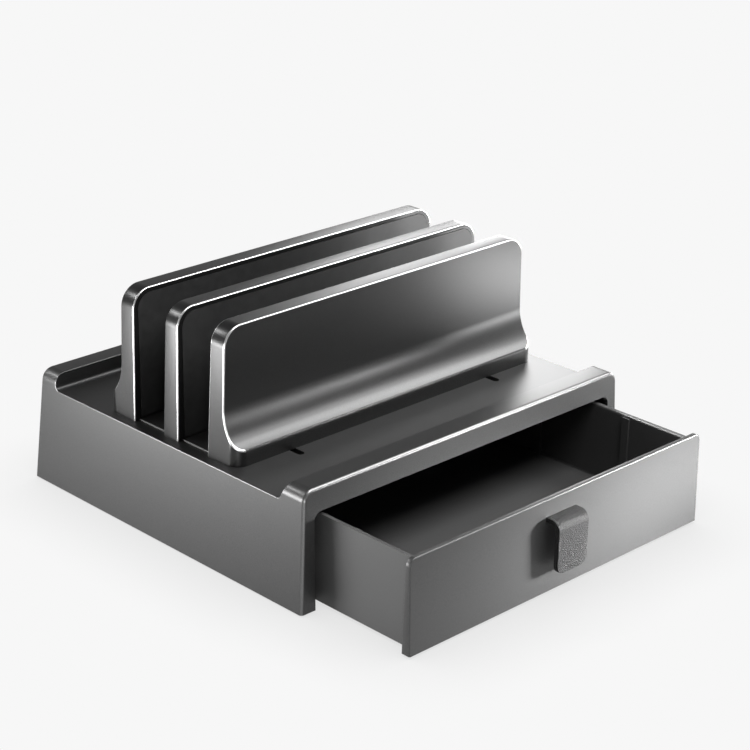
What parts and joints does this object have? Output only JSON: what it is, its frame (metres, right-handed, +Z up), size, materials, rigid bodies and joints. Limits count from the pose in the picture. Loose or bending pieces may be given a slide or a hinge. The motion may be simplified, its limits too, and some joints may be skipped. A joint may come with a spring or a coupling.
{
  "type": "vertical laptop stand",
  "caption": "Desktop stand that holds laptops upright between sliding fins, with a pull-out storage drawer below the deck.",
  "frame": {"origin": "on the table, below the middle of the whole outline, drawer open as at rest", "axes": "+Z up, -Y towards the drawer front, +X to the right seen from the front"},
  "size_m": [0.2566, 0.3122, 0.1384],
  "materials": {
    "housing_plastic": "satin dark grey moulding with a fine metallic paint look",
    "fin_plastic": "satin dark grey moulding",
    "drawer_plastic": "satin dark grey moulding",
    "front_plastic": "satin dark grey moulding",
    "runner_plastic": "plain black moulding",
    "silicone": "matt black silicone",
    "foot_rubber": "matt black rubber",
    "black_steel": "black oxide",
    "zinc_steel": "zinc plated",
    "insert_brass": "turned",
    "tab_leather": "grained black leather",
    "plate_steel": "black painted sheet"
  },
  "bodies": {
    "base": {"base_housing": "housing_plastic", "rubber_feet": "foot_rubber", "left_runner": "runner_plastic", "right_runner": "runner_plastic", "middle_fin": "fin_plastic", "middle_fin_screws": "black_steel", "middle_fin_inserts": "insert_brass", "middle_fin_front_pad": "silicone", "middle_fin_rear_pad": "silicone", "front_slot_pad": "silicone", "rear_slot_pad": "silicone"},
    "drawer": {"drawer_tray": "drawer_plastic", "drawer_front": "front_plastic", "drawer_front_screws": "zinc_steel", "pull_tab": "tab_leather", "tab_clamp_plate": "plate_steel", "tab_screws": "zinc_steel"},
    "front_fin_slider": {"front_fin": "fin_plastic", "front_fin_pad": "silicone", "front_fin_screws": "black_steel", "front_fin_inserts": "insert_brass"},
    "rear_fin_slider": {"rear_fin": "fin_plastic", "rear_fin_pad": "silicone", "rear_fin_screws": "black_steel", "rear_fin_inserts": "insert_brass"}
  },
  "joints": [
    {"name": "drawer_slide", "type": "slide", "parent": "base", "child": "drawer", "axis": [0, -1, 0], "range_m": [-0.0695, 0.0735]},
    {"name": "front_fin_slide", "type": "slide", "parent": "base", "child": "front_fin_slider", "axis": [0, -1, 0], "range_m": [0, 0.024]},
    {"name": "rear_fin_slide", "type": "slide", "parent": "base", "child": "rear_fin_slider", "axis": [0, 1, 0], "range_m": [0, 0.024]}
  ]
}
